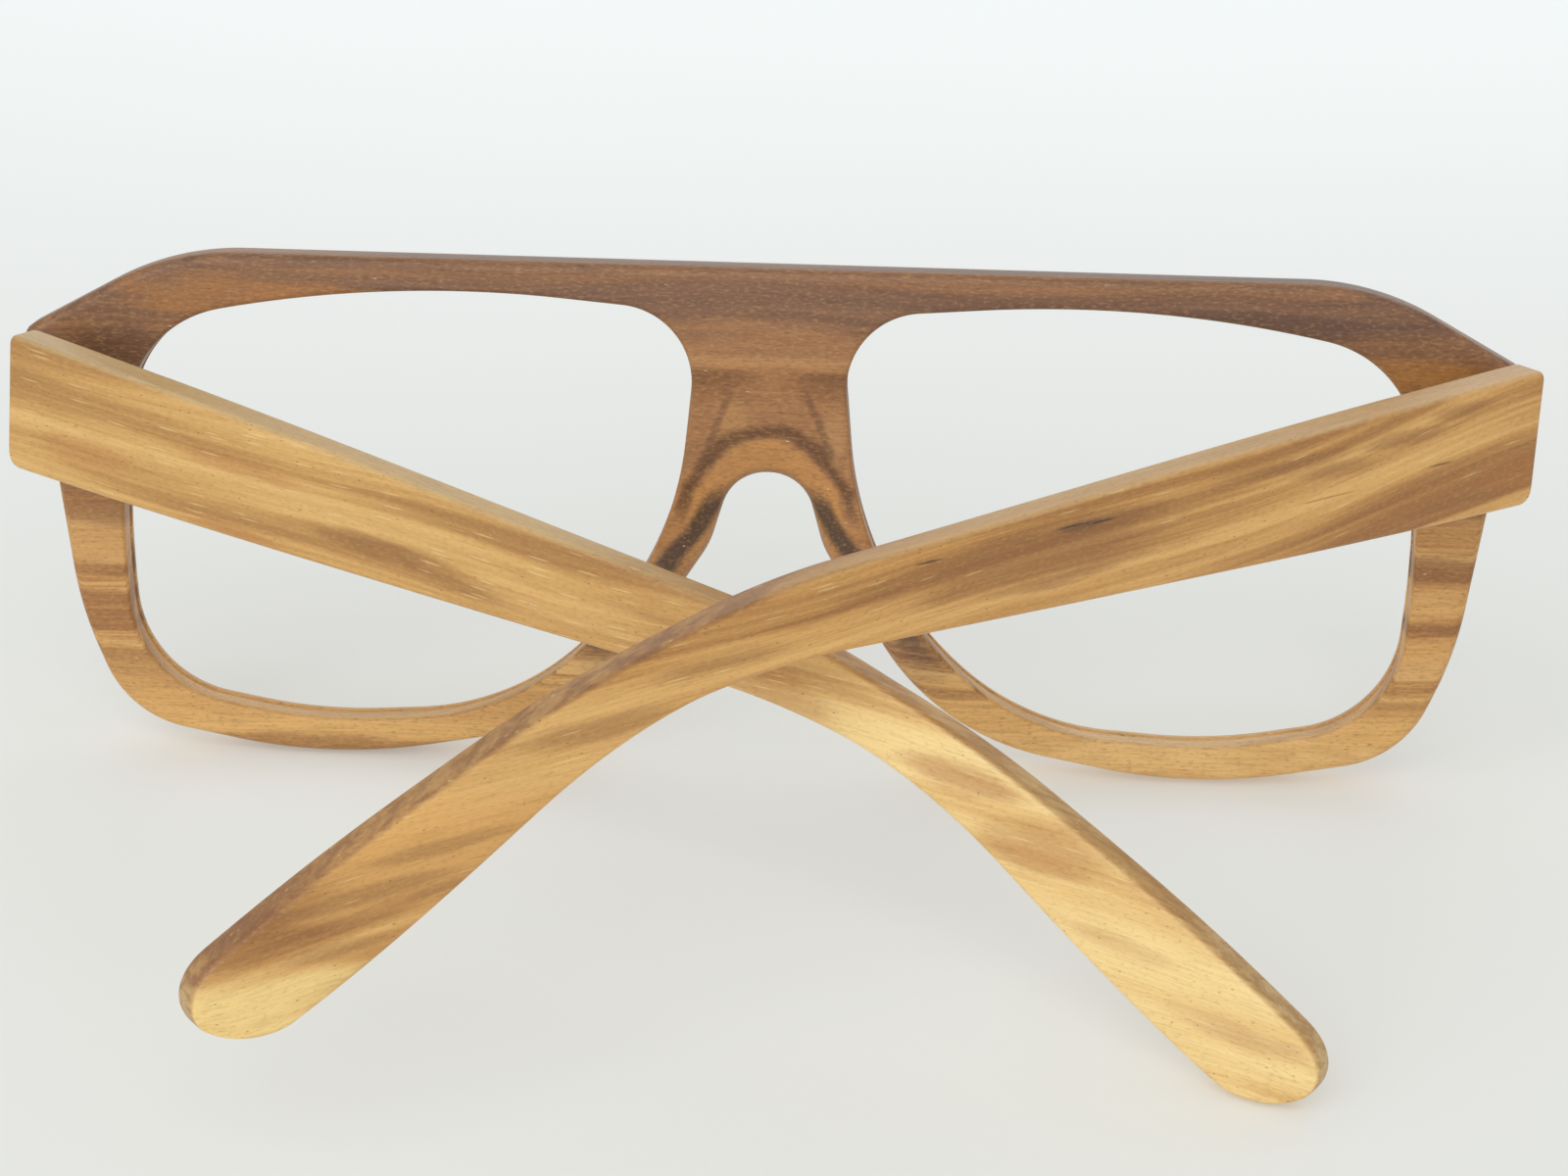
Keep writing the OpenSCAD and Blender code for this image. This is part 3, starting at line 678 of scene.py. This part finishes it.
def temple_wood(name, side, fold, seed, dip, wave, flecked, stops, pale, painted_top_tones, spots, marks):
    """Golden wood with soft ribbons that dip along the run and rise in a wave at the hinge. Flecked is
    the share of light flecks, stops are its tones, pale is where it lightens towards the tip. The top
    face takes two painted tones, near the hinge and past the bend: paler near the hinge, a painted
    sheen of the light from above, and darker past the bend, painted shade. A spot, or a mark that lies
    over all, is a place, a reach, a strength and a colour."""
    material, tree, shader = new_material(name)
    c, s = math.cos(slope_0), math.sin(slope_0)
    turn = np.array([[0, -c, -s], [side, 0, 0], [0, -s, c]]) @ (tilt @ hinge_turn(side, fold)).T
    turn[1] *= 1 if np.linalg.det(turn) > 0 else -1
    place = grain_space(tree, turn, tilt @ pin(side) + stand)
    x, y, z = axes(tree, place)
    sway = swing(tree, stretched(tree, place, (0.02, 0.08, 0.08), 1.0, 0.5, (seed, 0, 0)), 4.0)
    layer = plus(tree, z, times(tree, x, math.tan(math.radians(dip))))
    layer = plus(tree, layer, plus(tree, sway, times(tree, y, 0.3)))
    layer = minus(tree, layer, times(tree, share(tree, x, 30.0, -4.0), wave))
    layers = put(tree, "CombineXYZ", X=x, Y=y, Z=layer).outputs[0]
    bands = stretched(tree, layers, (0.014, 0.08, 0.27), 2.0, 0.5, (seed, seed, 0))
    lines = stretched(tree, layers, (0.025, 0.7, 1.5), 2.0, 0.6, (0, seed, 0))
    fibre = stretched(tree, layers, (0.2, 4.0, 4.0), 3.0, 0.7, (seed, 0, 0))
    grit = stretched(tree, layers, (1.5, 4.5, 4.5), 2.0, 0.6, (seed, 1, 4))
    ragged = stretched(tree, layers, (0.07, 0.3, 0.5), 3.0, 0.6, (seed, 2, 9))
    pores = dashes(tree, layers, (0.9, 2.4, 2.4), 0.17, 0.26, (seed, 0, 0))
    flecks = dashes(tree, layers, (0.2, 2.4, 3.4), 0.3, flecked, (seed + 40, 2, 5))

    band = share(tree, blend(tree, bands, lines, 0.72), 0.35, 0.65)
    toward = plus(tree, x, swing(tree, bands, 30.0))
    tint = mix(tree, share(tree, toward, *pale), ramp(tree, band, stops), ramp(tree, band, light_stops))
    tint = spotted(tree, tint, x, z, ragged, spots)
    # Painted light on the top face: paler near the hinge, a painted sheen, and darker past the bend,
    # painted shade; the grain's lines run through it.
    top, along, _ = mesh_tones(tree)
    painted_top_tint = mix(tree, share(tree, along, 60.0, 92.0), colour(*painted_top_tones[0]), colour(*painted_top_tones[1]))
    painted_top_tint = mix(tree, share(tree, lines, 0.35, 0.65), painted_top_tint, mix(tree, 0.4, painted_top_tint, tint))
    tint = mix(tree, times(tree, top, 0.85), tint, painted_top_tint)
    tint = spotted(tree, tint, x, z, ragged, marks)
    for where, strength, c in (
        (share(tree, fibre, 0.42, 0.75), 0.2, (132, 86, 44)),
        (share(tree, grit, 0.5, 0.72), 0.14, (248, 206, 132)),
        (share(tree, grit, 0.48, 0.28), 0.22, (140, 88, 44)),
        (pores, 0.55, (112, 64, 34)),
        (flecks, 0.36, (250, 222, 160)),
    ):
        tint = laid(tree, tint, where, strength, c)
    finish_wood(tree, shader, tint, fibre, pores)
    return material


amber, brown, ink, rust = (178, 112, 58), (140, 92, 50), (58, 42, 40), (168, 84, 46)
left_look = {
    "seed": 3.0, "dip": -2.0, "wave": 0.0, "flecked": 0.36, "pale": (62.0, 104.0),
    "stops": [(0, (174, 126, 68)), (0.5, (208, 160, 92)), (1, (230, 186, 116))],
    # Top face: painted sheen near the hinge, painted shade past the bend.
    "painted_top_tones": ((218, 186, 132), (178, 128, 70)),
    "spots": (
        ((39.0, -1.0), (9.0, 1.2), 0.75, brown),
        ((46.0, -1.6), (6.0, 0.6), 0.5, brown),
        ((22.0, 2.2), (9.0, 0.8), 0.4, amber),
        ((22.0, -4.0), (8.0, 0.7), 0.45, amber),
        ((6.0, -1.5), (6.0, 2.0), 0.3, amber),
        ((58.0, -0.6), (10.0, 2.4), 0.4, (238, 192, 122)),
        ((79.0, -1.5), (7.0, 2.4), 0.45, amber),
        ((98.0, -3.2), (6.0, 1.8), 0.6, amber),
        ((106.0, -7.4), (7.0, 2.2), 0.5, amber),
        ((115.0, -13.0), (6.0, 1.0), 0.35, amber),
        ((126.0, -17.0), (8.0, 1.4), 0.4, amber),
    ),
    "marks": (),
}
right_look = {
    "seed": 17.0, "dip": 2.0, "wave": 3.4, "flecked": 0.1, "pale": (126.0, 146.0),
    "stops": [(0, (162, 110, 58)), (0.5, (206, 152, 84)), (1, (234, 184, 112))],
    # Top face: painted sheen near the hinge, painted shade past the bend.
    "painted_top_tones": ((218, 180, 126), (142, 96, 60)),
    "spots": (
        ((20.0, 2.7), (5.0, 0.9), 0.5, brown),
        ((13.0, 4.3), (5.0, 0.9), 0.5, brown),
        ((6.0, 5.7), (4.5, 0.8), 0.5, brown),
        ((0.0, -1.6), (4.0, 2.6), 0.35, amber),
        ((5.0, -3.3), (7.0, 0.7), 0.4, brown),
        ((26.0, 4.4), (8.0, 0.8), 0.4, brown),
        ((52.0, 1.5), (19.0, 2.8), 0.58, brown),
        ((47.0, 3.5), (10.0, 1.0), 0.5, brown),
        ((53.0, -1.0), (9.0, 0.6), 0.45, brown),
        ((84.5, -0.8), (8.0, 1.2), 0.4, brown),
        ((98.0, -3.6), (9.0, 1.5), 0.45, brown),
        ((112.0, -10.5), (15.0, 5.0), 0.75, (236, 180, 104)),
        ((111.5, -10.3), (8.0, 0.7), 0.4, brown),
        ((118.5, -12.7), (9.0, 0.8), 0.45, brown),
        ((122.0, -16.7), (7.0, 0.9), 0.5, brown),
        ((129.0, -20.0), (10.0, 3.4), 0.92, (255, 220, 144)),
    ),
    "marks": (
        ((49.0, 3.5), (3.2, 0.5), 0.4, ink),
        ((49.4, 3.6), (2.4, 0.14), 0.85, ink),
        ((46.6, 3.4), (1.6, 0.11), 0.8, ink),
        ((64.5, 3.5), (1.4, 0.14), 0.75, ink),
        ((8.4, 0.9), (1.8, 0.16), 0.75, ink),
        ((21.0, 0.4), (4.0, 0.1), 0.6, rust),
        ((98.8, 0.3), (2.0, 0.8), 0.6, ink),
    ),
}
for name, side, fold, look in (
    ("temple_left", -1, 23.0, left_look),
    ("temple_right", 1, 33.5, right_look),
):
    points, faces, tones = temple_surface(side, fold)
    piece = solid(name + "_wood", to_row(points), faces, tones)
    piece.data.materials.append(temple_wood(name + "_wood", side, fold, **look))
    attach(piece, name.split("_")[1] + "_temple_assembly")
    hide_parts(name)

# Hinges: five-knuckle barrel hinges of nickel silver, a leaf in the front and one in the temple.
# The leaves are milled and satin brushed; countersunk screws hold them and a pivot screw is the axle.


def metal(name, tone, along):
    """Brushed metal: fine lines along one axis vary its tone, roughness and height."""
    material, tree, shader = new_material(name)
    place = put(tree, "TexCoord").outputs["Object"]
    scale = [9000.0, 9000.0, 9000.0]
    scale[along] = 300.0
    brush = stretched(tree, place, scale, 2.0, 0.6)
    dull = stretched(tree, place, (420, 420, 420), 2.0, 0.5)
    deep = [int(v * 0.82) for v in tone]
    tree.links.new(laid(tree, colour(*tone), dull, 0.5, deep), shader.inputs["Base Color"])
    rough = within(tree, blend(tree, brush, dull, 0.6), 0.2, 0.48)
    tree.links.new(rough, shader.inputs["Roughness"])
    shader.inputs["Metallic"].default_value = 1.0
    raised(tree, shader, brush, 0.15, 0.00002)
    return material


leaf_metal = metal("satin_nickel_silver", (206, 200, 186), 2)
screw_metal = metal("turned_steel", (200, 200, 198), 0)
for name, node in frame["nodes"].items():
    if "screw" in name or "leaf" in name:
        node.data.materials.clear()
        node.data.materials.append(screw_metal if "screw" in name else leaf_metal)

# Table: a plain pale sheet that runs out of view on all sides, with a faint mottle. It is painted
# lighter towards the back, a painted fall-off of the light, and glows faintly, painted light that lifts
# its shadows.
# It is only what the frame stands on and isn't part of it.

table_corners = [(-3, -2, 0), (3, -2, 0), (3, 4, 0), (-3, 4, 0)]
table_mesh = bpy.data.meshes.new("table")
table_mesh.from_pydata(table_corners, [], [(0, 1, 2, 3)])
table = bpy.data.objects.new("table", table_mesh)
bpy.context.scene.collection.objects.link(table)
table_paper, tree, shader = new_material("table_paper")
place = put(tree, "TexCoord").outputs["Object"]
# Painted light: the sheet is painted lighter towards the back.
far = share(tree, axes(tree, place)[1], 0.06, 0.34)
mottle = stretched(tree, place, (14, 14, 14), 3.0)
tint = mix(tree, far, colour(211, 212, 208), colour(227, 230, 229))
tint = laid(tree, tint, mottle, 0.06, (186, 186, 177))
tree.links.new(tint, shader.inputs["Base Color"])
# Painted light: the sheet glows faintly in its own colour, which lifts the shadows on it.
tree.links.new(tint, shader.inputs["Emission Color"])
shader.inputs["Emission Strength"].default_value = 0.4
shader.inputs["Roughness"].default_value = 0.55
shader.inputs["Specular IOR Level"].default_value = 0.25
table_mesh.materials.append(table_paper)

# Light: a bright room all round and one large soft lamp on the camera's side, a little to the left.
# A weaker lamp behind the front lifts the table and the edges.

world = bpy.data.worlds.new("room_light")
bpy.context.scene.world = world
world.use_nodes = True
sky = world.node_tree.nodes["Background"]
sky.inputs["Color"].default_value = (0.95, 0.98, 1.0, 1.0)
sky.inputs["Strength"].default_value = 0.55
lamp_aim = Vector((0, 0, 0.02))
for name, spot, size, power in (
    ("key", Vector((-0.3, -0.85, 0.65)), 1.3, 7.0),
    ("back", Vector((0.1, 0.8, 0.5)), 0.9, 1.2),
):
    lamp = bpy.data.lights.new(name, "AREA")
    lamp.size = size
    lamp.energy = power
    lamp_object = bpy.data.objects.new(name, lamp)
    lamp_object.location = spot
    lamp_object.rotation_euler = (spot - lamp_aim).to_track_quat("Z", "Y").to_euler()
    bpy.context.scene.collection.objects.link(lamp_object)

# Camera: behind the frame on the wearer's side, looking down on the crossed temples.
# Its place and turn were fitted to the outline of the front, and are given in the front's frame.

yaw, pitch, roll = (math.radians(v) for v in (2.2, -14.579, -1.316))
eye = np.array([15.431, -351.784, 84.612])
focus_px, picture_px, sensor_mm = 3800, 1600, 36.0
aim = tilt @ turned(2, yaw) @ turned(0, pitch) @ turned(1, roll)
camera = bpy.data.cameras.new("camera")
camera.sensor_width = sensor_mm
camera.lens = focus_px / picture_px * sensor_mm
camera.clip_start, camera.clip_end = 0.01, 20
camera_object = bpy.data.objects.new("camera", camera)
pose = np.eye(4)
pose[:3, 0], pose[:3, 1], pose[:3, 2] = aim[:, 0], aim[:, 2], -aim[:, 1]
pose[:3, 3] = to_row(eye)
camera_object.matrix_world = Matrix(pose.tolist())
bpy.context.scene.collection.objects.link(camera_object)
bpy.context.scene.camera = camera_object
bpy.context.scene.view_settings.view_transform = "Standard"
